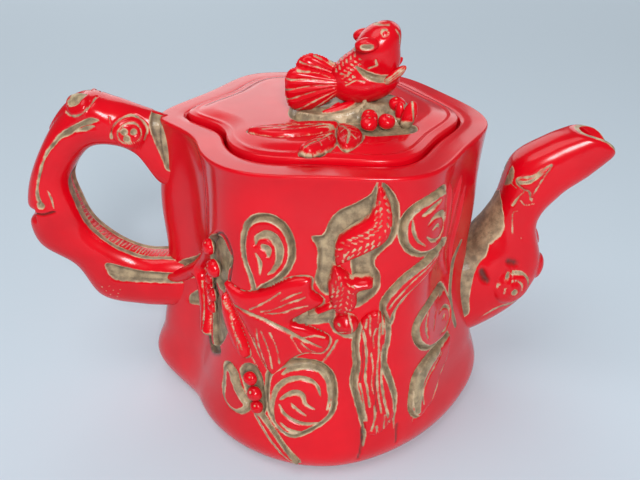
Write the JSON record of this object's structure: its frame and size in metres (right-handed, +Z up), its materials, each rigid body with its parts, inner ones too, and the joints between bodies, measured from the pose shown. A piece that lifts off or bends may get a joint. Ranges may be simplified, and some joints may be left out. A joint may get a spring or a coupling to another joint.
{
  "type": "teapot",
  "caption": "Six-lobed stump-shaped teapot in glossy red with khaki patina, branch handle and spout, applied vine relief, and a lift-off lid with a goldfish finial.",
  "frame": {"origin": "centre of the flat foot, at the level it rests on, on the pot's own axis", "axes": "+X towards the spout, handle at -X, +Y away from the most decorated face, +Z up"},
  "size_m": [0.1792, 0.1009, 0.1184],
  "materials": {
    "pot_gloss": "glossy red coat over a khaki patina that shows in the recesses",
    "branch_gloss": "glossy red coat, khaki bark patches and worn edges",
    "ornament_gloss": "glossy red relief with cream worn edges and khaki grooves",
    "fish_gloss": "glossy red with cream scales and khaki fin grooves"
  },
  "bodies": {
    "pot": {"back_berries": "ornament_gloss", "back_branch": "ornament_gloss", "back_curl": "ornament_gloss", "back_leaf": "ornament_gloss", "back_low_leaf": "ornament_gloss", "back_scroll": "ornament_gloss", "berry_trio": "ornament_gloss", "bud_leaf": "ornament_gloss", "crescent_scroll": "ornament_gloss", "handle": "branch_gloss", "handle_twig": "branch_gloss", "lower_berries": "ornament_gloss", "lower_stem": "ornament_gloss", "narrow_leaf": "ornament_gloss", "pot_body": "pot_gloss", "side_scroll": "ornament_gloss", "spiral_scroll": "ornament_gloss", "spout": "pot_gloss", "squirrel": "ornament_gloss", "squirrel_tail": "ornament_gloss", "teardrop_scroll": "ornament_gloss", "tree_trunk": "ornament_gloss", "trunk_branch": "ornament_gloss", "upper_berries": "ornament_gloss", "upper_scroll": "ornament_gloss", "vine_leaf": "ornament_gloss"},
    "lid": {"fish_body": "fish_gloss", "fish_eyes": "fish_gloss", "fish_fins": "fish_gloss", "fish_tail": "fish_gloss", "lid": "pot_gloss", "lid_berries": "ornament_gloss", "lid_bud": "ornament_gloss", "lid_leaf_front": "ornament_gloss", "lid_leaf_left": "ornament_gloss", "lid_leaf_right": "ornament_gloss", "vine_mound": "ornament_gloss"}
  },
  "joints": [
    {"name": "lid_lift", "type": "slide", "parent": "pot", "child": "lid", "axis": [0, 0, 1], "range_m": [0, 0.05]}
  ]
}
